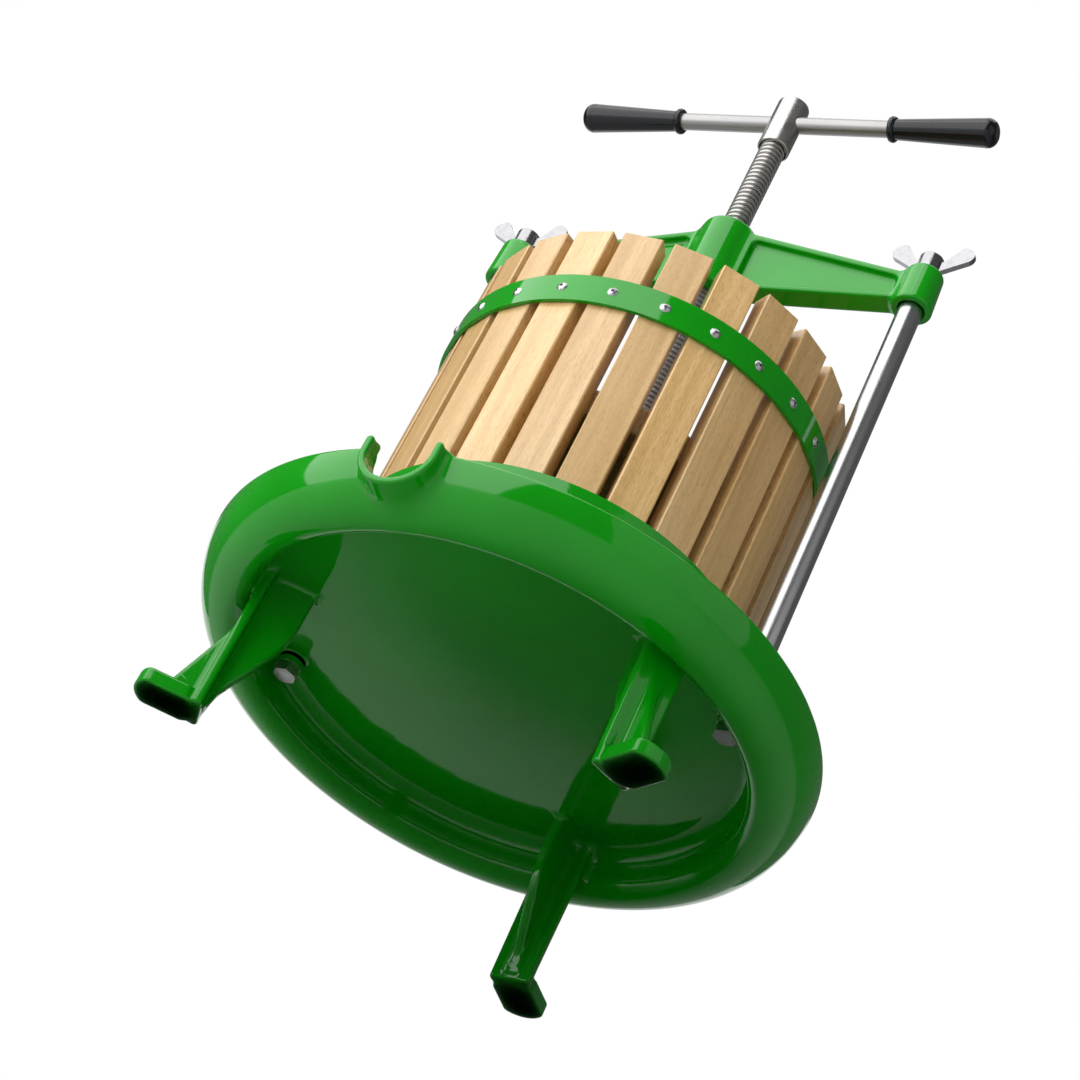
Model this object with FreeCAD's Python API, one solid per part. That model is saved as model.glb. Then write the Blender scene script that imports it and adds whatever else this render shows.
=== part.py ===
import FreeCAD, Part
import math
import os

# Fruit press of about 18 litres. Millimetres, +Z up.
# The origin is on the floor, under the spindle. The spout points to -Y, the uprights stand on +X and -X.

V = FreeCAD.Vector
UP = V(0, 0, 1)
AXIS = V(0, 0, 0)

# Feet and legs, one casting each side of the dish
LEG_ANGLES = {"leg_rear": 90, "leg_left": 210, "leg_right": 330}
FOOT_INNER = 184.0
FOOT_OUTER = 234.5
FOOT_THICK = 12.0
LEG_HALF_FOOT = 16.5
LEG_HALF_TOP = 18.5
LEG_FLANGE = 7.5
LEG_RIB = 8.0
LEG_KNEE_Z = 84.0
LEG_RIB_INNER = 151.5
GUSSET_FOOT = 216.0
GUSSET_TOP_Z = 82.0

# Dish: a raised round floor with a gutter about it, whose outer wall is a quarter ellipse that ends upright
DISH_WALL = 5.0
FLOOR_BOTTOM = 131.0
FLOOR_TOP = FLOOR_BOTTOM + DISH_WALL
GUTTER_INNER = 194.6
GUTTER_LOWEST = 208.4
GUTTER_BOTTOM = 94.1
INNER_WIDTH = 15.6
INNER_HEIGHT = 20.0
FLOOR_FILLET = 14.0
RIM_RADIUS = 240.0
RIM_TOP = 138.8
RIM_STRAIGHT = 1.2

# Spout
SPOUT_TIP = 250.0
SPOUT_ROOT = 204.0
SPOUT_Z = 127.5
SPOUT_OUTER = 29.5
SPOUT_INNER = 23.7
SPOUT_TOP = 139.5

# Uprights, their studs and nuts
UPRIGHT_X = 180.0
UPRIGHT_RADIUS = 10.0
STUD_RADIUS = 5.0
SHOULDER_Z = 560.0
STUD_TOP = 607.5
BOSS_RADIUS = 9.8
BOSS_BOTTOM = 122.0
NUT_BOTTOM = 113.6
NUT_FLATS = 17.0
NUT_BEVEL = 2.0
NUT_BEVEL_SLOPE = 0.577
THREAD_GAP = 0.05

# Crossbeam
BEAM_BOTTOM = 552.0
BEAM_HALF = 10.0
BEAM_TOP_MID = 621.5
BEAM_SLOPE = 0.238
WEB_HALF = 4.0
FLANGE = 6.0
HUB_RADIUS = 23.6
HUB_BOTTOM = 549.0
HUB_TOP = 621.7
END_BOTTOM_RADIUS = 16.8
END_TOP_RADIUS = 15.3
END_BOTTOM = 547.5
END_TOP = 588.0
END_SOCKET = 11.0
POCKET_START = 28.0
POCKET_END = 163.5

# Wing nuts
REST_GAP = 0.3
WING_HUB_RADIUS = 10.0
WING_HUB_HEIGHT = 18.0
WING_SPAN = 34.0
WING_TOP = 32.0
WING_HALF_THICK = 2.4

# Spindle, head and tommy bar
SPINDLE_RADIUS = 11.0
SPINDLE_TOP = 745.0
HEAD_RADIUS = 14.0
HEAD_BOTTOM = 729.0
HEAD_TOP = 785.0
BAR_Z = 761.7
BAR_RADIUS = 7.3
BAR_HOLE = 7.8
BAR_HALF = 184.0
GRIP_END = 188.6
GRIP_START = 95.0
GRIP_TIP_RADIUS = 12.4
GRIP_NECK_RADIUS = 8.8
GRIP_COLLAR_RADIUS = 11.2
GRIP_COLLAR = 5.0

# Press plate and the socket that the spindle turns in
PLATE_RADIUS = 134.0
PLATE_TOP = 314.0
PLATE_THICK = 25.0
SOCKET_FLANGE_RADIUS = 42.0
SOCKET_FLANGE = 7.0
SOCKET_HUB_RADIUS = 19.0
SOCKET_TOP = 338.0
JOURNAL_RADIUS = 8.0
JOURNAL_GAP = 0.06
GROOVE_RADIUS = 5.5
GROOVE_Z = 328.0
GROOVE_HALF = 3.3
KEEPER_RADIUS = 3.0
SCREW_CIRCLE = 31.0
SCREW_RADIUS = 2.4
SCREW_DEPTH = 17.0
SCREW_CAP = 2.5

# Basket
SLATS = 24
SLAT_WIDTH = 31.2
SLAT_THICK = 17.6
SLAT_FACE = 153.5
SLAT_BOTTOM = FLOOR_TOP + REST_GAP
SLAT_TOP = 454.4
SLAT_CHAMFER = 0.9
SLAT_TURN = 10.47
HOOP_INNER = 154.6
HOOP_OUTER = 157.6
HOOP_HEIGHT = 26.7
HOOP_LOWER_Z = 180.6
HOOP_UPPER_Z = 374.6
RIVET_HEAD_RADIUS = 4.2
RIVET_HEAD = 1.9
RIVET_SHANK = 2.4
RIVET_LENGTH = 12.0
RIVET_EYE = 1.3
RIVET_EYE_DEPTH = 2.5
RIVET_CROWN_RADIUS = 6.0


def save(name, shape):
    """Write one node, after making sure that it is sound."""
    if not shape.isValid() or shape.Volume <= 0:
        raise ValueError(name + " is not a sound solid")
    shape.exportStep("parts/" + name + ".step")


def rod(radius, low, high, x=0.0, y=0.0):
    """An upright cylinder from one height to another."""
    return Part.makeCylinder(radius, high - low, V(x, y, low), UP)


def rod_x(radius, start, end, z, y=0.0):
    """A cylinder that lies along X."""
    return Part.makeCylinder(radius, end - start, V(start, y, z), V(1, 0, 0))


def box(x0, x1, y0, y1, z0, z1):
    """A block between two corners."""
    return Part.makeBox(x1 - x0, y1 - y0, z1 - z0, V(x0, y0, z0))


def turned(shape, degrees):
    """A copy turned about the spindle axis."""
    copy = shape.copy()
    copy.rotate(AXIS, UP, degrees)
    return copy


def prism_y(points, half):
    """A block with an outline in X and Z, as deep as half on both sides of Y 0."""
    corners = [V(x, -half, z) for x, z in points]
    face = Part.Face(Part.makePolygon(corners + corners[:1]))
    return face.extrude(V(0, 2 * half, 0))


def spun(edges):
    """A solid of revolution about the spindle axis from an outline in X and Z."""
    wire = Part.Wire(Part.__sortEdges__(edges))
    return Part.Face(wire).revolve(AXIS, UP, 360)


def line(a, b):
    return Part.LineSegment(V(a[0], 0, a[1]), V(b[0], 0, b[1])).toShape()


def arc(a, m, b):
    return Part.Arc(V(a[0], 0, a[1]), V(m[0], 0, m[1]), V(b[0], 0, b[1])).toShape()


def on_circle(centre, radius, degrees):
    t = math.radians(degrees)
    return (centre[0] + radius * math.cos(t), centre[1] + radius * math.sin(t))


def hexagon(flats, low, high, x=0.0, y=0.0):
    """A hexagonal prism with one pair of corners on X."""
    flat_corners = [on_circle((x, y), flats / math.sqrt(3), 60 * k) for k in range(7)]
    corners = [V(a, b, low) for a, b in flat_corners]
    return Part.Face(Part.makePolygon(corners)).extrude(V(0, 0, high - low))


# ---------------------------------------------------------------- dish


def dish_outline(inset):
    """The skin from the gutter's inner edge to the rim, moved in by inset: first point, edges and last point."""
    inner = GUTTER_INNER + inset
    width = INNER_WIDTH - inset
    height = INNER_HEIGHT - inset
    inner_turn = math.asin((GUTTER_LOWEST - inner) / width)
    inner_middle = V(GUTTER_LOWEST, 0, GUTTER_BOTTOM + INNER_HEIGHT)
    low = inner_middle - V(0, 0, height)
    inner_side = Part.Ellipse(low, inner_middle - V(width, 0, 0), inner_middle)
    first = (inner, inner_middle.z - height * math.cos(inner_turn))
    rim_end = RIM_TOP - RIM_STRAIGHT
    outer_middle = V(GUTTER_LOWEST, 0, rim_end)
    outer_width = RIM_RADIUS - inset - GUTTER_LOWEST
    outer_side = Part.Ellipse(low, outer_middle + V(outer_width, 0, 0), outer_middle)
    edges = [
        Part.ArcOfEllipse(inner_side, 0, inner_turn).toShape(),
        Part.ArcOfEllipse(outer_side, 0, math.pi / 2).toShape(),
    ]
    return first, edges, (RIM_RADIUS - inset, rim_end)


def dish_body():
    """The dish filled up to the rim: everything inside its outer skin."""
    first, skin, rim_end = dish_outline(0)
    rim = (rim_end[0], RIM_TOP)
    bend = (GUTTER_INNER - FLOOR_FILLET, FLOOR_BOTTOM - FLOOR_FILLET)
    edges = [
        line((0, RIM_TOP), (0, FLOOR_BOTTOM)),
        line((0, FLOOR_BOTTOM), (bend[0], FLOOR_BOTTOM)),
        arc((bend[0], FLOOR_BOTTOM), on_circle(bend, FLOOR_FILLET, 45), (GUTTER_INNER, bend[1])),
        line((GUTTER_INNER, bend[1]), first),
        *skin,
        line(rim_end, rim),
        line(rim, (0, RIM_TOP)),
    ]
    return spun(edges)


def dish_hollow():
    """What is taken out above the floor and in the gutter."""
    first, skin, rim_end = dish_outline(DISH_WALL)
    top = RIM_TOP + 10
    over = (rim_end[0], top)
    edge = GUTTER_INNER + DISH_WALL
    roll = 4.0
    bend = (edge - roll, FLOOR_TOP - roll)
    edges = [
        line((0, top), (0, FLOOR_TOP)),
        line((0, FLOOR_TOP), (bend[0], FLOOR_TOP)),
        arc((bend[0], FLOOR_TOP), on_circle(bend, roll, 45), (edge, bend[1])),
        line((edge, bend[1]), first),
        *skin,
        line(rim_end, over),
        line(over, (0, top)),
    ]
    return spun(edges)


def trough(radius, tip, root, top):
    """A bar along Y with a round underside and a flat top, that points to -Y."""
    barrel = Part.makeCylinder(radius, tip - root, V(0, -tip, SPOUT_Z), V(0, 1, 0))
    low_half = barrel.common(box(-radius, radius, -tip, -root, SPOUT_Z - radius, SPOUT_Z))
    return low_half.fuse(box(-radius, radius, -tip, -root, SPOUT_Z, top)).removeSplitter()


dish_filled = dish_body()
spout = trough(SPOUT_OUTER, SPOUT_TIP, SPOUT_ROOT, SPOUT_TOP)
channel = trough(SPOUT_INNER, SPOUT_TIP + 1, GUTTER_LOWEST, RIM_TOP + 10)
bosses = [rod(BOSS_RADIUS, BOSS_BOTTOM, FLOOR_BOTTOM + 1, side * UPRIGHT_X) for side in (-1, 1)]
dish_outside = dish_filled.fuse([spout] + bosses)
stud_holes = [
    rod(STUD_RADIUS + THREAD_GAP, BOSS_BOTTOM - 1, FLOOR_TOP + 1, side * UPRIGHT_X) for side in (-1, 1)
]
base_dish = dish_outside.cut([dish_hollow(), channel] + stud_holes).removeSplitter()
save("base_dish", base_dish)

# ---------------------------------------------------------------- legs


def foot_pad():
    """A flat pad with a rounded outer end, in the plane of its leg along +X."""
    swell = 7.0
    outer = FOOT_OUTER - swell
    half = LEG_HALF_FOOT
    a = V(FOOT_INNER, -half, 0)
    b = V(outer, -half, 0)
    c = V(outer, half, 0)
    d = V(FOOT_INNER, half, 0)
    tip = V(FOOT_OUTER, 0, 0)
    edges = [
        Part.LineSegment(a, b).toShape(),
        Part.Arc(b, tip, c).toShape(),
        Part.LineSegment(c, d).toShape(),
        Part.LineSegment(d, a).toShape(),
    ]
    return Part.Face(Part.Wire(edges)).extrude(V(0, 0, FOOT_THICK))


def leg_flange():
    """The upright plate across the leg, a little wider at its top."""
    top = FLOOR_BOTTOM + 2
    corners = [
        V(FOOT_INNER, -LEG_HALF_FOOT, 0),
        V(FOOT_INNER, LEG_HALF_FOOT, 0),
        V(FOOT_INNER, LEG_HALF_TOP, top),
        V(FOOT_INNER, -LEG_HALF_TOP, top),
    ]
    plate = Part.Face(Part.makePolygon(corners + corners[:1])).extrude(V(LEG_FLANGE, 0, 0))
    root = box(FOOT_INNER, GUTTER_INNER + 3, -LEG_HALF_TOP, LEG_HALF_TOP, 108, top)
    return plate.fuse(root)


def leg_ribs():
    """The rib that grows inward with height, and the gusset over the foot."""
    top = FLOOR_BOTTOM + 2
    inner = [
        (FOOT_INNER + 3, FOOT_THICK),
        (FOOT_INNER, FOOT_THICK),
        (LEG_RIB_INNER, LEG_KNEE_Z),
        (LEG_RIB_INNER, top),
        (FOOT_INNER + 3, top),
    ]
    outer = [
        (FOOT_INNER + 3, FOOT_THICK - 2),
        (GUSSET_FOOT, FOOT_THICK - 2),
        (FOOT_INNER + LEG_FLANGE, GUSSET_TOP_Z),
        (FOOT_INNER + 3, GUSSET_TOP_Z),
    ]
    return prism_y(inner, LEG_RIB / 2).fuse(prism_y(outer, LEG_RIB / 2))


def leg():
    whole = foot_pad().fuse([leg_flange(), leg_ribs()])
    return whole.cut(dish_filled).removeSplitter()


leg_along_x = leg()
for leg_name, angle in LEG_ANGLES.items():
    save(leg_name, turned(leg_along_x, angle).cut(bosses))

# ---------------------------------------------------------------- uprights and nuts

for side, name in ((-1, "upright_left"), (1, "upright_right")):
    x = side * UPRIGHT_X
    column = rod(UPRIGHT_RADIUS, FLOOR_TOP, SHOULDER_Z, x)
    rims = [e for e in column.Edges if len(e.Vertexes) == 1]
    column = column.makeChamfer(0.8, rims)
    studs = [rod(STUD_RADIUS, NUT_BOTTOM, FLOOR_TOP + 2, x), rod(STUD_RADIUS, SHOULDER_Z - 2, STUD_TOP, x)]
    save(name, column.fuse(studs).removeSplitter())

nuts = []
for side in (-1, 1):
    x = side * UPRIGHT_X
    blank = hexagon(NUT_FLATS, NUT_BOTTOM, BOSS_BOTTOM, x)
    wide = NUT_FLATS / math.sqrt(3) + 1
    bevel_top = NUT_BEVEL * NUT_BEVEL_SLOPE
    bevel = Part.makeCone(wide - NUT_BEVEL, wide, bevel_top, V(x, 0, NUT_BOTTOM), UP)
    barrel = rod(wide, NUT_BOTTOM + bevel_top, BOSS_BOTTOM, x)
    hole = rod(STUD_RADIUS + THREAD_GAP, NUT_BOTTOM - 1, BOSS_BOTTOM + 1, x)
    nuts.append(blank.common(bevel.fuse(barrel)).cut(hole))
save("base_nuts", Part.makeCompound(nuts))

# ---------------------------------------------------------------- crossbeam


def beam_top(x):
    return BEAM_TOP_MID - BEAM_SLOPE * abs(x)


def beam_arms():
    outline = [
        (-UPRIGHT_X, BEAM_BOTTOM),
        (UPRIGHT_X, BEAM_BOTTOM),
        (UPRIGHT_X, beam_top(UPRIGHT_X)),
        (0, beam_top(0)),
        (-UPRIGHT_X, beam_top(UPRIGHT_X)),
    ]
    return prism_y(outline, BEAM_HALF)


def beam_pocket(side, face):
    """The hollow beside the web: side is the arm, face is front or back."""
    outline = [
        (side * POCKET_START, BEAM_BOTTOM + FLANGE),
        (side * POCKET_END, BEAM_BOTTOM + FLANGE),
        (side * POCKET_END, beam_top(POCKET_END) - FLANGE),
        (side * POCKET_START, beam_top(POCKET_START) - FLANGE),
    ]
    depth = BEAM_HALF - WEB_HALF + 5
    pocket = prism_y(outline, depth / 2)
    pocket.translate(V(0, face * (WEB_HALF + depth / 2), 0))
    across = [e for e in pocket.Edges if abs(e.Vertexes[0].Point.y - e.Vertexes[1].Point.y) > 1]
    pocket = pocket.makeFillet(5.0, across)
    floor = [f for f in pocket.Faces if abs(f.CenterOfMass.y - face * WEB_HALF) < 0.01][0]
    return pocket.makeFillet(3.0, floor.Edges)


hub = rod(HUB_RADIUS, HUB_BOTTOM, HUB_TOP)
hub = hub.makeFillet(2.0, [e for e in hub.Edges if len(e.Vertexes) == 1])
ends = []
for side in (-1, 1):
    height = END_TOP - END_BOTTOM
    boss = Part.makeCone(END_BOTTOM_RADIUS, END_TOP_RADIUS, height, V(side * UPRIGHT_X, 0, END_BOTTOM), UP)
    ends.append(boss.makeFillet(1.2, [e for e in boss.Edges if len(e.Vertexes) == 1 and e.Closed]))
pockets = [beam_pocket(side, face) for side in (-1, 1) for face in (-1, 1)]
beam = beam_arms().cut(pockets).fuse([hub] + ends)
beam_holes = [rod(SPINDLE_RADIUS + THREAD_GAP, HUB_BOTTOM - 1, HUB_TOP + 1)]
for side in (-1, 1):
    beam_holes.append(rod(END_SOCKET, END_BOTTOM - 1, SHOULDER_Z, side * UPRIGHT_X))
    beam_holes.append(rod(STUD_RADIUS + THREAD_GAP, END_BOTTOM, END_TOP + 1, side * UPRIGHT_X))
crossbeam = beam.cut(beam_holes).removeSplitter()
save("crossbeam", crossbeam)

# ---------------------------------------------------------------- wing nuts


def wing_outline():
    """One wing, from the hub to its round tip, in X and Z from the nut's seat."""
    low_root = (WING_HUB_RADIUS - 3, 1.5)
    low_tip = (WING_SPAN - 4.0, 15.5)
    tip_far = (WING_SPAN, 21.5)
    tip_top = (WING_SPAN - 5.5, WING_TOP - 2.0)
    top_in = (WING_SPAN - 13.0, WING_TOP - 4.0)
    neck = (WING_HUB_RADIUS + 1.5, 14.0)
    top_root = (WING_HUB_RADIUS - 3, 14.0)
    return [
        line(low_root, low_tip),
        arc(low_tip, tip_far, tip_top),
        arc(tip_top, (WING_SPAN - 9.5, WING_TOP - 0.8), top_in),
        line(top_in, neck),
        line(neck, top_root),
        line(top_root, low_root),
    ]


def wing_nut():
    hub_body = rod(WING_HUB_RADIUS, 0, WING_HUB_HEIGHT)
    hub_body = hub_body.makeFillet(1.0, [e for e in hub_body.Edges if len(e.Vertexes) == 1])
    wing = Part.Face(Part.Wire(wing_outline())).extrude(V(0, 2 * WING_HALF_THICK, 0))
    wing.translate(V(0, -WING_HALF_THICK, 0))
    nut = hub_body.fuse([wing, turned(wing, 180)])
    return nut.cut(rod(STUD_RADIUS + THREAD_GAP, -1, WING_HUB_HEIGHT + 1)).removeSplitter()


nut_shape = wing_nut()
for side, name in ((-1, "wing_nut_left"), (1, "wing_nut_right")):
    copy = nut_shape.copy()
    copy.translate(V(side * UPRIGHT_X, 0, END_TOP + REST_GAP))
    save(name, copy)

# ---------------------------------------------------------------- spindle, head and tommy bar

JOURNAL_END = PLATE_TOP + SOCKET_FLANGE + 0.5
thread = rod(SPINDLE_RADIUS, SOCKET_TOP + 0.5, SPINDLE_TOP)
journal = rod(JOURNAL_RADIUS, JOURNAL_END, SOCKET_TOP + 1)
groove = rod(JOURNAL_RADIUS + 1, GROOVE_Z - GROOVE_HALF, GROOVE_Z + GROOVE_HALF)
groove = groove.cut(rod(GROOVE_RADIUS, GROOVE_Z - GROOVE_HALF, GROOVE_Z + GROOVE_HALF))
save("spindle", thread.fuse(journal).cut(groove).removeSplitter())

head = rod(HEAD_RADIUS, HEAD_BOTTOM, HEAD_TOP)
head = head.makeFillet(1.5, [e for e in head.Edges if len(e.Vertexes) == 1])
seat = rod(SPINDLE_RADIUS, HEAD_BOTTOM - 1, SPINDLE_TOP)
mouth = Part.makeCone(SPINDLE_RADIUS + 1.6, SPINDLE_RADIUS, 3.0, V(0, 0, HEAD_BOTTOM), UP)
cross_hole = rod_x(BAR_HOLE, -HEAD_RADIUS - 1, HEAD_RADIUS + 1, BAR_Z)
save("spindle_head", head.cut([seat, mouth, cross_hole]).removeSplitter())

bar = rod_x(BAR_RADIUS, -BAR_HALF, BAR_HALF, BAR_Z)
save("tommy_bar", bar)


def grip():
    """A tapered handle on +X, thicker at its outer end, with a collar at its inner end."""
    shank = GRIP_START + GRIP_COLLAR
    swell = GRIP_END - 10
    outline = [
        line((GRIP_START, 0), (GRIP_START, GRIP_COLLAR_RADIUS - 1)),
        arc(
            (GRIP_START, GRIP_COLLAR_RADIUS - 1),
            (GRIP_START + GRIP_COLLAR / 2, GRIP_COLLAR_RADIUS),
            (shank, GRIP_COLLAR_RADIUS - 1),
        ),
        line((shank, GRIP_COLLAR_RADIUS - 1), (shank + 0.8, GRIP_NECK_RADIUS)),
        line((shank + 0.8, GRIP_NECK_RADIUS), (swell, GRIP_TIP_RADIUS)),
        arc((swell, GRIP_TIP_RADIUS), (GRIP_END - 3, GRIP_TIP_RADIUS - 1.7), (GRIP_END, 6.0)),
        line((GRIP_END, 6.0), (GRIP_END, 0)),
        line((GRIP_END, 0), (GRIP_START, 0)),
    ]
    body = Part.Face(Part.Wire(outline)).revolve(AXIS, V(1, 0, 0), 360)
    body.translate(V(0, 0, BAR_Z))
    return body.cut(rod_x(BAR_RADIUS, GRIP_START - 1, BAR_HALF, BAR_Z))


grip_shape = grip()
save("grip_right", grip_shape)
save("grip_left", turned(grip_shape, 180))

# ---------------------------------------------------------------- press plate and its socket

screw_spots = [on_circle((0, 0), SCREW_CIRCLE, angle) for angle in (45, 135, 225, 315)]
plate = rod(PLATE_RADIUS, PLATE_TOP - PLATE_THICK, PLATE_TOP)
plate = plate.makeFillet(2.0, [e for e in plate.Edges if len(e.Vertexes) == 1])
pilots = [rod(SCREW_RADIUS, PLATE_TOP - SCREW_DEPTH - 1, PLATE_TOP + 1, x, y) for x, y in screw_spots]
save("press_plate", plate.cut(pilots))

flange_top = PLATE_TOP + SOCKET_FLANGE
socket = rod(SOCKET_FLANGE_RADIUS, PLATE_TOP, flange_top)
socket = socket.fuse(rod(SOCKET_HUB_RADIUS, PLATE_TOP, SOCKET_TOP))
bore = rod(JOURNAL_RADIUS + JOURNAL_GAP, flange_top, SOCKET_TOP + 1)
keeper_hole = rod_x(KEEPER_RADIUS, 0, SOCKET_HUB_RADIUS + 1, GROOVE_Z)
screw_holes = [rod(SCREW_RADIUS, PLATE_TOP - 1, flange_top + 1, x, y) for x, y in screw_spots]
save("plate_socket", socket.cut([bore, keeper_hole] + screw_holes).removeSplitter())

screws = []
for x, y in screw_spots:
    shank = rod(SCREW_RADIUS, PLATE_TOP - SCREW_DEPTH, flange_top, x, y)
    cap = rod(2 * SCREW_RADIUS, flange_top, flange_top + SCREW_CAP, x, y)
    top_rim = [e for e in cap.Edges if len(e.Vertexes) == 1 and e.CenterOfMass.z > flange_top + 1]
    cap = cap.makeFillet(1.5, top_rim)
    screws.append(cap.fuse(shank).removeSplitter())
save("socket_screws", Part.makeCompound(screws))

keeper = rod_x(KEEPER_RADIUS, GROOVE_RADIUS + 0.4, SOCKET_HUB_RADIUS + 3, GROOVE_Z)
save("keeper_screw", keeper)

# ---------------------------------------------------------------- basket


def slat():
    """One stave on +X, its flat outer face out."""
    half = SLAT_WIDTH / 2
    body = box(SLAT_FACE - SLAT_THICK, SLAT_FACE, -half, half, SLAT_BOTTOM, SLAT_TOP)
    return body.makeChamfer(SLAT_CHAMFER, body.Edges)


def rivet(z):
    """A blind rivet on +X: a low dome with an eye, and its shank in the wood."""
    seat = HOOP_OUTER
    crown = seat + RIVET_HEAD
    dome = Part.makeSphere(RIVET_CROWN_RADIUS, V(crown - RIVET_CROWN_RADIUS, 0, z))
    disc = Part.makeCylinder(RIVET_HEAD_RADIUS, RIVET_HEAD, V(seat, 0, z), V(1, 0, 0))
    shank = Part.makeCylinder(RIVET_SHANK, RIVET_LENGTH, V(seat - RIVET_LENGTH + 0.5, 0, z), V(1, 0, 0))
    eye = Part.makeCylinder(RIVET_EYE, RIVET_EYE_DEPTH, V(crown - RIVET_EYE_DEPTH, 0, z), V(1, 0, 0))
    return dome.common(disc).fuse(shank).cut(eye).removeSplitter()


def hoop(low):
    return rod(HOOP_OUTER, low, low + HOOP_HEIGHT).cut(rod(HOOP_INNER, low - 1, low + HOOP_HEIGHT + 1))


slat_angles = [SLAT_TURN + 360 / SLATS * k for k in range(SLATS)]
hoops = {"upper": HOOP_UPPER_Z, "lower": HOOP_LOWER_Z}
drilled = slat()
for low in hoops.values():
    spot = low + HOOP_HEIGHT / 2
    hole = Part.makeCylinder(RIVET_SHANK, 14, V(SLAT_FACE - 10, 0, spot), V(1, 0, 0))
    drilled = drilled.cut(hole)
for number, angle in enumerate(slat_angles, 1):
    save("slat_%02d" % number, turned(drilled, angle))

for which, low in hoops.items():
    spot = low + HOOP_HEIGHT / 2
    hole = Part.makeCylinder(RIVET_SHANK, 6, V(HOOP_INNER - 2, 0, spot), V(1, 0, 0))
    ring = hoop(low).cut([turned(hole, angle) for angle in slat_angles])
    save("hoop_" + which, ring)
    save("rivets_" + which, Part.makeCompound([turned(rivet(spot), angle) for angle in slat_angles]))
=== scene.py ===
import math
import random

import bmesh
import bpy
import numpy as np
from mathutils import Matrix, Vector


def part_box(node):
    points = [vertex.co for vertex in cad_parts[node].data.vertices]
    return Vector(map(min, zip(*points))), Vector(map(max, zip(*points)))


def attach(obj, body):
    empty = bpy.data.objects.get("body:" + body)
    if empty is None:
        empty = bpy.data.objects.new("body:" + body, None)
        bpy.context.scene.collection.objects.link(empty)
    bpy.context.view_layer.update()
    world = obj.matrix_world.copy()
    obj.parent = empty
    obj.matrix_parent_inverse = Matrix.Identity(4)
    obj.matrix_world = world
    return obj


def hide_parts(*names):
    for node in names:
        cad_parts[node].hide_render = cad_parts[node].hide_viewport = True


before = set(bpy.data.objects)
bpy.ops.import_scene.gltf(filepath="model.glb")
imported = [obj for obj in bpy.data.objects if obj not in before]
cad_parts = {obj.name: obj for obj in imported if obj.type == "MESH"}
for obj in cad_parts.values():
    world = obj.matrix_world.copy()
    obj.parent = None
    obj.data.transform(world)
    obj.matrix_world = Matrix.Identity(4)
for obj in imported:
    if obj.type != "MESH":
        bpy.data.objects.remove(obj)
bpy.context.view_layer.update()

MM = 0.001
SEED = 11
random.seed(SEED)


def node_box(name):
    """The corners of a CAD node in millimetres, as two arrays."""
    low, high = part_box(name)
    return np.array(low) / MM, np.array(high) / MM


# ---------------------------------------------------------------- materials


class Paint:
    """A material with one Principled shader. Cell sizes are in metres, along the axes of the piece."""

    def __init__(self, name, values):
        self.material = bpy.data.materials.new(name)
        self.material.use_nodes = True
        self.tree = self.material.node_tree
        self.shader = self.tree.nodes["Principled BSDF"]
        for socket, value in values.items():
            self.shader.inputs[socket].default_value = value
        self.place = self.tree.nodes.new("ShaderNodeTexCoord").outputs["Object"]

    def add(self, kind, inputs=(), **settings):
        node = self.tree.nodes.new(kind)
        for key, value in settings.items():
            setattr(node, key, value)
        for key, value in dict(inputs).items():
            if isinstance(value, bpy.types.NodeSocket):
                self.tree.links.new(value, node.inputs[key])
            else:
                node.inputs[key].default_value = value
        return node

    def cells(self, size, turn=0.0, shift=(0, 0, 0)):
        """Places in the piece, measured in cells of that size, turned about Z first."""
        return self.add(
            "ShaderNodeMapping",
            {"Vector": self.place, "Scale": size, "Rotation": (0, 0, turn), "Location": shift},
            vector_type="TEXTURE",
        ).outputs["Vector"]

    def noise(self, size, detail=3.0, rough=0.5, twist=0.0, turn=0.0, shift=(0, 0, 0)):
        return self.add(
            "ShaderNodeTexNoise",
            {
                "Vector": self.cells(size, turn, shift),
                "Scale": 1.0,
                "Detail": detail,
                "Roughness": rough,
                "Distortion": twist,
            },
        ).outputs["Fac"]

    def span(self, value, low, high, new_low, new_high):
        """A value between two limits, moved to two new limits."""
        return self.add(
            "ShaderNodeMapRange",
            {"Value": value, "From Min": low, "From Max": high, "To Min": new_low, "To Max": new_high},
        ).outputs["Result"]

    def mix(self, share, a, b, blend="MIX"):
        node = self.add("ShaderNodeMix", data_type="RGBA", blend_type=blend)
        for socket, value in ((node.inputs[0], share), (node.inputs[6], a), (node.inputs[7], b)):
            if isinstance(value, bpy.types.NodeSocket):
                self.tree.links.new(value, socket)
            else:
                socket.default_value = value
        return node.outputs[2]

    def bump(self, height, depth, strength=1.0, normal=None):
        inputs = {"Height": height, "Distance": depth, "Strength": strength}
        if normal is not None:
            inputs["Normal"] = normal
        return self.add("ShaderNodeBump", inputs).outputs["Normal"]

    def drive(self, socket, value):
        self.tree.links.new(value, self.shader.inputs[socket])


def rgb(r, g, b):
    return (r, g, b, 1.0)


def green_enamel():
    """Glossy stoved enamel over a casting: slight orange peel, soft waves and small changes of shade."""
    paint = Paint("green_enamel", {"IOR": 1.46})
    shade = paint.noise((0.09, 0.09, 0.09), detail=2)
    speck = paint.noise((0.0016, 0.0016, 0.0016), detail=2)
    base = paint.mix(paint.span(shade, 0.3, 0.7, 0, 1), rgb(0.0015, 0.265, 0.002), rgb(0.003, 0.310, 0.004))
    base = paint.mix(paint.span(speck, 0.35, 0.75, 0, 0.10), base, rgb(0.002, 0.20, 0.003))
    paint.drive("Base Color", base)
    paint.drive("Roughness", paint.span(speck, 0.3, 0.7, 0.05, 0.09))
    waves = paint.bump(paint.noise((0.022, 0.022, 0.022), detail=1), 0.00025, 0.5)
    peel = paint.bump(paint.noise((0.0022, 0.0022, 0.0022), detail=1), 0.00002, 0.35, waves)
    paint.drive("Normal", peel)
    return paint.material


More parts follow.
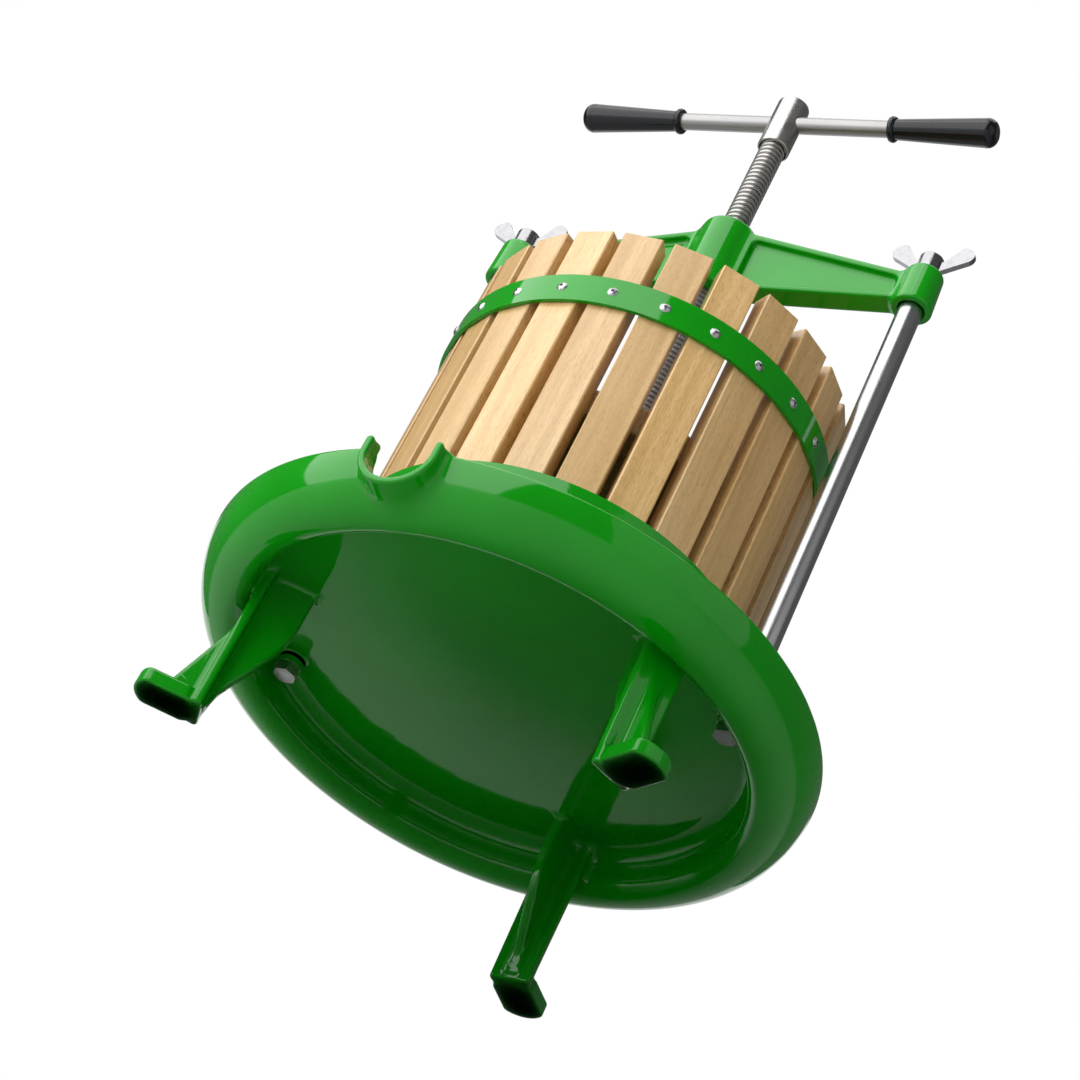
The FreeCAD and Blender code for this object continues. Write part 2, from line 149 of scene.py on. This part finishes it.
def beech(name, turn, tone):
    """Varnished beech: long growth bands, fine grain and short dark flecks, in a tone of its own."""
    paint = Paint(name, {"IOR": 1.48, "Coat Weight": 0.45, "Coat Roughness": 0.16, "Coat IOR": 1.5})
    shift = tuple(random.uniform(-9, 9) for _ in range(3))
    bands = paint.noise((0.012, 0.009, 0.35), detail=3, twist=0.6, turn=turn, shift=shift)
    grain = paint.noise((0.0012, 0.0008, 0.035), detail=4, rough=0.65, turn=turn, shift=shift)
    flecks = paint.noise((0.0016, 0.00045, 0.0065), detail=1, turn=turn, shift=shift)
    clouds = paint.noise((0.05, 0.05, 0.09), detail=2, turn=turn, shift=shift)
    light = rgb(0.83 * tone, 0.560 * tone, 0.250 * tone)
    dark = rgb(0.61 * tone, 0.370 * tone, 0.120 * tone)
    base = paint.mix(paint.span(bands, 0.30, 0.72, 0.0, 1.0), light, dark)
    base = paint.mix(paint.span(grain, 0.42, 0.74, 0.0, 0.50), base, rgb(0.47, 0.24, 0.08))
    base = paint.mix(paint.span(flecks, 0.58, 0.70, 0.0, 0.60), base, rgb(0.33, 0.15, 0.05))
    base = paint.mix(paint.span(clouds, 0.35, 0.70, 0.0, 0.14), base, rgb(0.86, 0.58, 0.32))
    paint.drive("Base Color", base)
    paint.drive("Roughness", paint.span(grain, 0.3, 0.75, 0.30, 0.48))
    relief = paint.bump(grain, 0.00012, 0.5)
    paint.drive("Normal", paint.bump(flecks, 0.00008, 0.4, relief))
    return paint.material


def drawn_steel():
    """Bright drawn bar: faint lines along it and a few duller patches."""
    paint = Paint("drawn_steel", {"Metallic": 1.0})
    lines = paint.noise((0.0006, 0.0006, 0.08), detail=3)
    dull = paint.noise((0.02, 0.02, 0.05), detail=3)
    base = paint.mix(paint.span(dull, 0.35, 0.7, 0, 1), rgb(0.47, 0.47, 0.475), rgb(0.40, 0.40, 0.405))
    paint.drive("Base Color", paint.mix(paint.span(lines, 0.5, 0.8, 0, 0.25), base, rgb(0.33, 0.33, 0.33)))
    paint.drive("Roughness", paint.span(dull, 0.3, 0.7, 0.20, 0.30))
    paint.drive("Normal", paint.bump(lines, 0.00003, 0.4))
    return paint.material


def cross_steel():
    """The same bar lying along X."""
    paint = Paint("cross_steel", {"Metallic": 1.0})
    lines = paint.noise((0.08, 0.0006, 0.0006), detail=3)
    dull = paint.noise((0.05, 0.02, 0.02), detail=3)
    base = paint.mix(paint.span(dull, 0.35, 0.7, 0, 1), rgb(0.31, 0.305, 0.30), rgb(0.285, 0.28, 0.275))
    paint.drive("Base Color", paint.mix(paint.span(lines, 0.5, 0.8, 0, 0.25), base, rgb(0.42, 0.42, 0.42)))
    paint.drive("Roughness", paint.span(dull, 0.3, 0.7, 0.33, 0.38))
    paint.drive("Normal", paint.bump(lines, 0.00003, 0.4))
    return paint.material


def turned_steel(name, dark=1.0, rough=0.28):
    """Steel off the lathe: fine rings across the axis, a little oil in the roots."""
    paint = Paint(name, {"Metallic": 1.0})
    rings = paint.noise((0.25, 0.25, 0.00035), detail=3)
    dull = paint.noise((0.012, 0.012, 0.012), detail=3)
    base = paint.mix(
        paint.span(dull, 0.35, 0.7, 0, 1),
        rgb(0.50 * dark, 0.49 * dark, 0.475 * dark),
        rgb(0.45 * dark, 0.44 * dark, 0.425 * dark),
    )
    paint.drive("Base Color", paint.mix(paint.span(rings, 0.5, 0.8, 0, 0.3), base, rgb(0.25, 0.245, 0.235)))
    paint.drive("Roughness", paint.span(dull, 0.3, 0.7, rough - 0.05, rough + 0.08))
    paint.drive("Normal", paint.bump(rings, 0.00004, 0.45))
    return paint.material


def plated(name, colour, rough):
    """Bright plating on a pressed or cast part, with faint handling marks."""
    paint = Paint(name, {"Metallic": 1.0})
    marks = paint.noise((0.004, 0.004, 0.004), detail=4, rough=0.6)
    fine = paint.noise((0.0007, 0.0007, 0.0007), detail=2)
    darker = rgb(*[c * 0.82 for c in colour])
    paint.drive("Base Color", paint.mix(paint.span(marks, 0.45, 0.75, 0, 1), rgb(*colour), darker))
    paint.drive("Roughness", paint.span(marks, 0.3, 0.75, rough, rough + 0.12))
    paint.drive("Normal", paint.bump(fine, 0.00001, 0.15))
    return paint.material


def black_plastic():
    """Moulded handle plastic with a polished skin and light scuffs."""
    paint = Paint("black_plastic", {"IOR": 1.42})
    marks = paint.noise((0.006, 0.006, 0.006), detail=4, rough=0.6)
    fine = paint.noise((0.0009, 0.0009, 0.0009), detail=2)
    paint.drive("Base Color", paint.mix(marks, rgb(0.002, 0.0025, 0.004), rgb(0.006, 0.007, 0.010)))
    paint.drive("Roughness", paint.span(marks, 0.35, 0.75, 0.10, 0.18))
    paint.drive("Normal", paint.bump(fine, 0.00002, 0.35))
    return paint.material


def cast_iron():
    """Rough dark casting that holds the spindle on the press plate."""
    paint = Paint("cast_iron", {"Metallic": 0.6})
    sand = paint.noise((0.0016, 0.0016, 0.0016), detail=4, rough=0.6)
    paint.drive("Base Color", paint.mix(sand, rgb(0.09, 0.092, 0.095), rgb(0.17, 0.17, 0.17)))
    paint.drive("Roughness", paint.span(sand, 0.3, 0.75, 0.38, 0.60))
    paint.drive("Normal", paint.bump(sand, 0.0002, 0.5))
    return paint.material


# ---------------------------------------------------------------- cast shapes
# A casting is described by a distance in millimetres, negative inside, with soft corners.
# Its mesh is a skin over the CAD nodes, pulled onto that shape.

MOST_TRIANGLES = 190000


def soft_max(a, b, size):
    """Both shapes at once, with the edge between them rounded."""
    reach = np.maximum(size - np.abs(a - b), 0) / size
    return np.maximum(a, b) + reach * reach * size / 4


def soft_min(a, b, size):
    """Either shape, with the corner between them filled."""
    return -soft_max(-a, -b, size)


def overlap(size, *shapes):
    whole = shapes[0]
    for shape in shapes[1:]:
        whole = soft_max(whole, shape, size)
    return whole


def past_line(start, end, x, z):
    """Distance past a line, positive on the left hand of someone going from its start to its end."""
    dx, dz = end[0] - start[0], end[1] - start[1]
    return ((z - start[1]) * dx - (x - start[0]) * dz) / math.hypot(dx, dz)


def slope_of(shape, points):
    """The direction away from the shape at each point."""
    step = 0.02
    slope = np.empty_like(points)
    for axis in range(3):
        offset = np.zeros(3)
        offset[axis] = step
        slope[:, axis] = shape(points + offset) - shape(points - offset)
    return slope / np.maximum(np.linalg.norm(slope, axis=1), 1e-9)[:, None]


def pull(points, shape, rounds):
    """Move points onto the surface of a shape."""
    for _ in range(rounds):
        away = np.clip(shape(points), -1.2, 1.2)
        points = points - away[:, None] * slope_of(shape, points)
    return points


def even_out(points, edges):
    """Move each point half way to the middle of its neighbours."""
    total = np.zeros_like(points)
    count = np.zeros(len(points))
    for a, b in ((0, 1), (1, 0)):
        count += np.bincount(edges[:, a], minlength=len(points))
        for axis in range(3):
            total[:, axis] += np.bincount(edges[:, a], points[edges[:, b], axis], len(points))
    return (points + total / np.maximum(count, 1)[:, None]) / 2


def read_points(mesh):
    flat = np.empty(len(mesh.vertices) * 3)
    mesh.vertices.foreach_get("co", flat)
    return flat.reshape(-1, 3) / MM


def write_points(mesh, points):
    mesh.vertices.foreach_set("co", (points * MM).ravel())
    mesh.update()


def read_edges(mesh):
    flat = np.empty(len(mesh.edges) * 2, int)
    mesh.edges.foreach_get("vertices", flat)
    return flat.reshape(-1, 2)


def applied(piece, kind, **settings):
    """Apply one modifier to a piece."""
    modifier = piece.modifiers.new(kind.lower(), kind)
    for key, value in settings.items():
        setattr(modifier, key, value)
    graph = bpy.context.evaluated_depsgraph_get()
    mesh = bpy.data.meshes.new_from_object(piece.evaluated_get(graph))
    piece.modifiers.clear()
    old = piece.data
    piece.data = mesh
    bpy.data.meshes.remove(old)


def new_piece(name, mesh):
    piece = bpy.data.objects.new(name, mesh)
    bpy.context.scene.collection.objects.link(piece)
    return piece


def finish_piece(piece, material, body, slot, *nodes):
    """Give a piece its material and its body, and hide the CAD nodes that it stands for."""
    piece.data.materials.clear()
    piece.data.materials.append(material)
    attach(piece, body)
    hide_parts(*nodes)
    return piece


def cast(name, nodes, shape, voxel):
    """A smooth skin over some CAD nodes, pulled onto a shape with soft corners."""
    joined = bmesh.new()
    for node in nodes:
        joined.from_mesh(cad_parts[node].data)
    mesh = bpy.data.meshes.new(name)
    joined.to_mesh(mesh)
    joined.free()
    piece = new_piece(name, mesh)
    applied(piece, "REMESH", mode="VOXEL", voxel_size=voxel * MM)
    edges = read_edges(piece.data)
    points = pull(read_points(piece.data), shape, 4)
    for _ in range(3):
        points = pull(even_out(points, edges), shape, 2)
    write_points(piece.data, points)
    triangles = 2 * len(piece.data.polygons)
    if triangles > MOST_TRIANGLES:
        applied(piece, "DECIMATE", ratio=MOST_TRIANGLES / triangles)
    points = pull(read_points(piece.data), shape, 3)
    write_points(piece.data, points)
    piece.data.shade_smooth()
    piece.data.normals_split_custom_set_from_vertices(slope_of(shape, points))
    return piece


# The base: dish, gutter, spout, bosses and legs are one casting

dish_low, dish_high = node_box("base_dish")
RIM_TOP = 138.8
RIM_RADIUS = dish_high[0]
SPOUT_TIP = -dish_low[1]
upright_low, upright_high = node_box("upright_right")
UPRIGHT_X = (upright_low[0] + upright_high[0]) / 2
WALL = 5.0
FLOOR = 131.0
GUTTER_INNER = RIM_RADIUS - 45.4
GUTTER_LOWEST = RIM_RADIUS - 31.6
GUTTER_BOTTOM = dish_low[2]
INNER_WIDTH = 15.6
INNER_HEIGHT = 20.0
RIM_STRAIGHT = 1.2
SPOUT_Z = 127.5
SPOUT_MIDDLE = 26.6
SPOUT_TOP = dish_high[2]
LIP_HALF = 2.9
BOSS_RADIUS = 9.8
LEG_ANGLES = (90, 210, 330)
leg_low, leg_high = node_box("leg_rear")
FOOT_OUTER = leg_high[1]
FOOT_HALF = 16.5
FOOT_THICK = 12.0
TIP_RADIUS = 22.95
LEG_FLANGE = 7.5
LEG_FACE = leg_low[1] + 32.5
RIB_HALF = 4.0
RIB_INNER = leg_low[1]
KNEE = (RIB_INNER, 84.0)
GUSSET_TOP = (LEG_FACE + LEG_FLANGE, 82.0)
GUSSET_TOE = (LEG_FACE + 32.0, 10.0)


def beside_ellipse(across, rise, width, height):
    """Distance outside an ellipse below its middle, and beside it above."""
    reach = np.hypot(across / width, rise / height)
    slope = np.maximum(np.hypot(across / width ** 2, rise / height ** 2), 1e-6)
    return np.where(rise < 0, reach * (reach - 1) / slope, np.abs(across) - width)


def gutter_skin(inset, out, z):
    """Distance outside the gutter, and outside its outer wall alone."""
    across = out - GUTTER_LOWEST
    rim_end = RIM_TOP - RIM_STRAIGHT
    width, height = RIM_RADIUS - GUTTER_LOWEST - inset, rim_end - GUTTER_BOTTOM - inset
    outer = beside_ellipse(across, z - rim_end, width, height)
    low = z - GUTTER_BOTTOM - INNER_HEIGHT
    inner = beside_ellipse(across, low, INNER_WIDTH - inset, INNER_HEIGHT - inset)
    return np.where(across > 0, outer, inner), np.where(across > 0, outer, -20.0)


def dish_shape(p):
    """The dish: a raised floor, the gutter round it, two bosses under it and the spout."""
    x, y, z = p.T
    out = np.hypot(x, y)
    skin, _ = gutter_skin(0, out, z)
    ring = soft_max(skin, GUTTER_INNER - out, 2.2)
    plate = np.maximum(FLOOR - z, out - GUTTER_LOWEST)
    solid = soft_min(plate, ring, 18)
    inside, wall = gutter_skin(WALL, out, z)
    over_floor = np.maximum(FLOOR + WALL - z, wall)
    channel = soft_max(GUTTER_INNER + WALL - out, inside, 2)
    hollow = soft_min(over_floor, channel, 9)
    for side in (-1, 1):
        boss = np.hypot(x - side * UPRIGHT_X, y) - BOSS_RADIUS
        solid = soft_min(solid, soft_max(boss, FLOOR - 9 - z, 1.2), 3)
    round_part = np.abs(np.hypot(x, z - SPOUT_Z) - SPOUT_MIDDLE)
    ears = np.hypot(np.abs(x) - SPOUT_MIDDLE, np.maximum(z - SPOUT_TOP + LIP_HALF, 0))
    lip = np.where(z < SPOUT_Z, round_part, ears) - LIP_HALF
    lip = overlap(2.5, lip, -SPOUT_TIP - y, y + GUTTER_LOWEST)
    bore = np.where(z < SPOUT_Z, np.hypot(x, z - SPOUT_Z), np.abs(x)) - SPOUT_MIDDLE + LIP_HALF
    bore = np.maximum(bore, y + GUTTER_LOWEST + 2)
    solid = soft_min(soft_max(solid, z - RIM_TOP, 3.2), lip, 7)
    return soft_max(soft_max(solid, -hollow, 2.4), -bore, 1.2)


def leg_shape(p, degrees):
    """One leg: a flange, a rib that grows inward with height, a foot pad and a gusset over it."""
    turn = math.radians(degrees)
    x = p[:, 0] * math.cos(turn) + p[:, 1] * math.sin(turn)
    y = p[:, 1] * math.cos(turn) - p[:, 0] * math.sin(turn)
    z = p[:, 2]
    top = z - FLOOR - 3
    web = np.abs(y) - RIB_HALF
    tip = np.hypot(x - FOOT_OUTER + TIP_RADIUS, y) - TIP_RADIUS
    foot = overlap(1.8, np.abs(y) - FOOT_HALF, LEG_FACE - x, tip, z - FOOT_THICK)
    across = np.abs(x - LEG_FACE - LEG_FLANGE / 2) - LEG_FLANGE / 2
    plate = overlap(3, np.abs(y) - FOOT_HALF - z * 0.015, across, top, 1 - z)
    slant = past_line((LEG_FACE, FOOT_THICK), KNEE, x, z)
    rib = soft_max(soft_max(slant, RIB_INNER - x, 8), web, 3)
    rib = overlap(2, rib, x - LEG_FACE - 4, top, FOOT_THICK - z)
    slope = past_line(GUSSET_TOP, GUSSET_TOE, x, z)
    gusset = overlap(2, soft_max(slope, web, 3), LEG_FACE - x, 8 - z)
    leg = soft_min(soft_min(plate, rib, 7), soft_min(foot, gusset, 6), 5)
    return soft_max(leg, -z, 1.8)


def base_shape(p):
    """Dish and legs together, with a fillet where they meet."""
    whole = dish_shape(p)
    for degrees in LEG_ANGLES:
        under = np.maximum(leg_shape(p, degrees), p[:, 2] - FLOOR - 2)
        whole = soft_min(whole, under, 6)
    return whole


GREEN = green_enamel()

base = cast(
    "cast_base",
    ("base_dish", "leg_rear", "leg_left", "leg_right"),
    base_shape,
    1.5,
)
finish_piece(base, GREEN, "frame", "green_enamel", "base_dish", "leg_rear", "leg_left", "leg_right")

# The crossbeam: a tapered arm each side of the hub, hollowed beside its web

beam_low, beam_high = node_box("crossbeam")
BEAM_BOTTOM = 552.0
BEAM_TOP = beam_high[2] - 0.2
BEAM_SLOPE = 0.238
POCKET_START = 28.0
POCKET_END = UPRIGHT_X - 16.5
END_TOP = 588.0


def beam_shape(p):
    """The crossbeam: two arms with a pocket beside the web, a hub and two bosses."""
    x, y, z = p.T
    out = np.abs(x)
    slant = (z - BEAM_TOP + BEAM_SLOPE * out) / math.hypot(1, BEAM_SLOPE)
    arms = overlap(3, slant, BEAM_BOTTOM - z, np.abs(y) - 10, out - UPRIGHT_X)
    pocket = overlap(7, slant + 6, BEAM_BOTTOM + 6 - z, POCKET_START - out, out - POCKET_END)
    pocket = soft_max(pocket, 4 - np.abs(y), 4)
    arms = soft_max(arms, -pocket, 2.5)
    hub = overlap(3.5, np.hypot(x, y) - 23.6, beam_low[2] + 1.5 - z, z - BEAM_TOP)
    ends = np.hypot(out - UPRIGHT_X, y) - 16.8 + (z - 547.5) * 0.037
    ends = overlap(3, ends, beam_low[2] - z, z - END_TOP)
    solid = soft_min(soft_min(arms, ends, 6), hub, 6)
    bore = np.hypot(x, y) - 11.05
    socket = np.maximum(np.hypot(out - UPRIGHT_X, y) - 11, z - 560)
    stud = np.hypot(out - UPRIGHT_X, y) - 5.05
    return overlap(1.2, solid, -bore, -socket, -stud)


beam = cast("cast_crossbeam", ("crossbeam",), beam_shape, 1.0)
finish_piece(beam, GREEN, "frame", "green_enamel", "crossbeam")


# ---------------------------------------------------------------- spindle and handles


def skin_of_rings(name, rings, steps, radius_at):
    """A closed skin: a ring of points at each height, its radius from a function of height and turn."""
    mesh = bpy.data.meshes.new(name)
    turns = np.arange(steps) * 2 * math.pi / steps
    points = []
    for height in rings:
        radii = radius_at(height, turns)
        points.append(np.stack([radii * np.cos(turns), radii * np.sin(turns), np.full(steps, height)], 1))
    points = np.concatenate(points)
    faces = []
    for row in range(len(rings) - 1):
        first = row * steps
        for k in range(steps):
            after = (k + 1) % steps
            faces.append((first + k, first + after, first + steps + after, first + steps + k))
    faces.append(tuple(reversed(range(steps))))
    faces.append(tuple(range(len(points) - steps, len(points))))
    mesh.from_pydata((points * MM).tolist(), [], faces)
    mesh.update()
    return mesh


spindle_low, spindle_high = node_box("spindle")
THREAD_PITCH = 5.0
THREAD_DEPTH = 2.3
THREAD_START = node_box("plate_socket")[1][2] + 0.5


def spindle_radius(height, turns):
    """A round-cornered trapezoid thread above the socket, a plain journal inside it."""
    full = spindle_high[0]
    if height < THREAD_START:
        return np.full(len(turns), full - 3.0)
    phase = (height / THREAD_PITCH - turns / (2 * math.pi)) % 1.0
    ridge = np.clip((0.5 - np.abs(phase - 0.5)) * 5.2 - 0.55, 0, 1)
    ridge = ridge * ridge * (3 - 2 * ridge)
    run_in = min(1.0, (height - THREAD_START) / 2)
    return full - THREAD_DEPTH * (1 - ridge) * run_in - (1 - run_in) * 0.5


heights = [spindle_low[2], THREAD_START - 0.01]
heights += list(np.arange(THREAD_START, spindle_high[2], 0.32))
heights.append(spindle_high[2])
spindle = new_piece("threaded_spindle", skin_of_rings("threaded_spindle", heights, 56, spindle_radius))
spindle.data.shade_smooth()
finish_piece(spindle, turned_steel("thread_steel", 0.80, 0.30), "spindle", "turned_steel", "spindle")


# ---------------------------------------------------------------- carried-over CAD nodes


def dress(node, material, edge=None):
    """Give a CAD node its material and, if asked, small rounded edges."""
    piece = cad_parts[node]
    piece.data.materials.clear()
    piece.data.materials.append(material)
    if edge:
        bevel = piece.modifiers.new("edges", "BEVEL")
        bevel.width = edge * MM
        bevel.segments = 2
        bevel.limit_method = "ANGLE"
        bevel.angle_limit = math.radians(35)


SLATS = sorted(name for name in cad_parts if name.startswith("slat_"))
for node in SLATS:
    low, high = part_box(node)
    middle = (low + high) / 2
    turn = math.atan2(middle.y, middle.x)
    dress(node, beech("beech_" + node, turn, random.uniform(0.82, 1.06)), 0.35)
dress("press_plate", beech("beech_plate", 0.4, 0.93))

ROD = drawn_steel()
dress("upright_left", ROD)
dress("upright_right", ROD)
dress("spindle_head", turned_steel("head_steel", 0.95, 0.25))
dress("tommy_bar", cross_steel())
BLACK = black_plastic()
dress("grip_left", BLACK)
dress("grip_right", BLACK)
dress("base_nuts", plated("nut_plating", (0.40, 0.385, 0.385), 0.26), 0.3)
ALUMINIUM = plated("rivet_aluminium", (0.46, 0.46, 0.47), 0.22)
dress("rivets_upper", ALUMINIUM)
dress("rivets_lower", ALUMINIUM)
dress("hoop_upper", GREEN, 0.5)
dress("hoop_lower", GREEN, 0.5)
dress("plate_socket", cast_iron())
WING_BRIGHT = plated("wing_nut_plating", (0.30, 0.30, 0.31), 0.16)
dress("wing_nut_left", WING_BRIGHT, 0.8)
dress("wing_nut_right", WING_BRIGHT, 0.8)
SCREWS = plated("screw_plating", (0.62, 0.61, 0.60), 0.3)
dress("socket_screws", SCREWS)
dress("keeper_screw", SCREWS)


# ---------------------------------------------------------------- floor, light and camera


def pale_floor():
    """Pale matt floor, seen from above only: from below it lets the camera look up at the base."""
    paint = Paint("pale_floor", {"Roughness": 0.7, "Base Color": rgb(0.66, 0.66, 0.66)})
    tree = paint.tree
    geometry = paint.add("ShaderNodeNewGeometry")
    clear = paint.add("ShaderNodeBsdfTransparent")
    either = paint.add("ShaderNodeMixShader", {0: geometry.outputs["Backfacing"]})
    tree.links.new(paint.shader.outputs[0], either.inputs[1])
    tree.links.new(clear.outputs[0], either.inputs[2])
    tree.links.new(either.outputs[0], tree.nodes["Material Output"].inputs["Surface"])
    return paint.material


floor_mesh = bpy.data.meshes.new("floor")
REACH = 6.0
BELOW = -0.001
corners = [(x * REACH, y * REACH, BELOW) for x, y in ((-1, -1), (1, -1), (1, 1), (-1, 1))]
floor_mesh.from_pydata(corners, [], [(0, 1, 2, 3)])
floor = new_piece("floor", floor_mesh)
floor.data.materials.append(pale_floor())


LAMP_TARGET = Vector((0, 0, 0.35))


def softbox(name, direction, distance, width, height, radiance):
    """A flat lamp that faces the press and is hidden from the camera."""
    lamp = bpy.data.lights.new(name, "AREA")
    lamp.shape = "RECTANGLE"
    lamp.size = width
    lamp.size_y = height
    lamp.energy = radiance * math.pi * width * height
    holder = bpy.data.objects.new(name, lamp)
    bpy.context.scene.collection.objects.link(holder)
    away = Vector(direction).normalized()
    holder.location = LAMP_TARGET + away * distance
    holder.rotation_mode = "QUATERNION"
    holder.rotation_quaternion = away.to_track_quat("Z", "Y")
    holder.visible_camera = False
    return holder


softbox("key_left", (-0.451, -0.892, 0.44), 1.8, 2.6, 2.8, 2.7)
softbox("fill_front", (0.92, -0.39, 0.20), 2.2, 2.2, 1.8, 0.55)
softbox("top", (-0.1, -0.1, 1.0), 2.4, 2.4, 2.4, 1.3)
softbox("backdrop", (-0.548, 0.837, 0.12), 3.0, 3.0, 2.4, 1.0)

world = bpy.data.worlds.new("studio")
bpy.context.scene.world = world
world.use_nodes = True
nodes, links = world.node_tree.nodes, world.node_tree.links
nodes.clear()
path = nodes.new("ShaderNodeLightPath")
seen = nodes.new("ShaderNodeBackground")
seen.inputs["Color"].default_value = rgb(1, 1, 1)
seen.inputs["Strength"].default_value = 1.0
around = nodes.new("ShaderNodeBackground")
around.inputs["Color"].default_value = rgb(1, 1, 1)
around.inputs["Strength"].default_value = 0.14
either = nodes.new("ShaderNodeMixShader")
output = nodes.new("ShaderNodeOutputWorld")
links.new(path.outputs["Is Camera Ray"], either.inputs[0])
links.new(around.outputs[0], either.inputs[1])
links.new(seen.outputs[0], either.inputs[2])
links.new(either.outputs[0], output.inputs[0])
bpy.context.scene.view_settings.view_transform = "Standard"

# The camera looks up at the base from in front and a little to the right, and leans,
# so that the press tips to the right
CAMERA_PLACE = Vector((0.9507, -1.5005, -0.9875))
LOOK_TURN = math.radians(33.19)
LOOK_UP = math.radians(35.12)
CAMERA_ROLL = math.radians(26.99)
look = Vector((
    -math.sin(LOOK_TURN) * math.cos(LOOK_UP),
    math.cos(LOOK_TURN) * math.cos(LOOK_UP),
    math.sin(LOOK_UP),
))
level = look.cross(Vector((0, 0, 1))).normalized()
upward = level.cross(look)
right = level * math.cos(CAMERA_ROLL) + upward * math.sin(CAMERA_ROLL)
top = right.cross(look)
lens = bpy.data.cameras.new("camera")
lens.sensor_width = 36.0
lens.lens = 96.34
lens.clip_end = 50.0
camera = bpy.data.objects.new("camera", lens)
bpy.context.scene.collection.objects.link(camera)
camera.matrix_world = Matrix.Translation(CAMERA_PLACE) @ Matrix((right, top, -look)).transposed().to_4x4()
bpy.context.scene.camera = camera
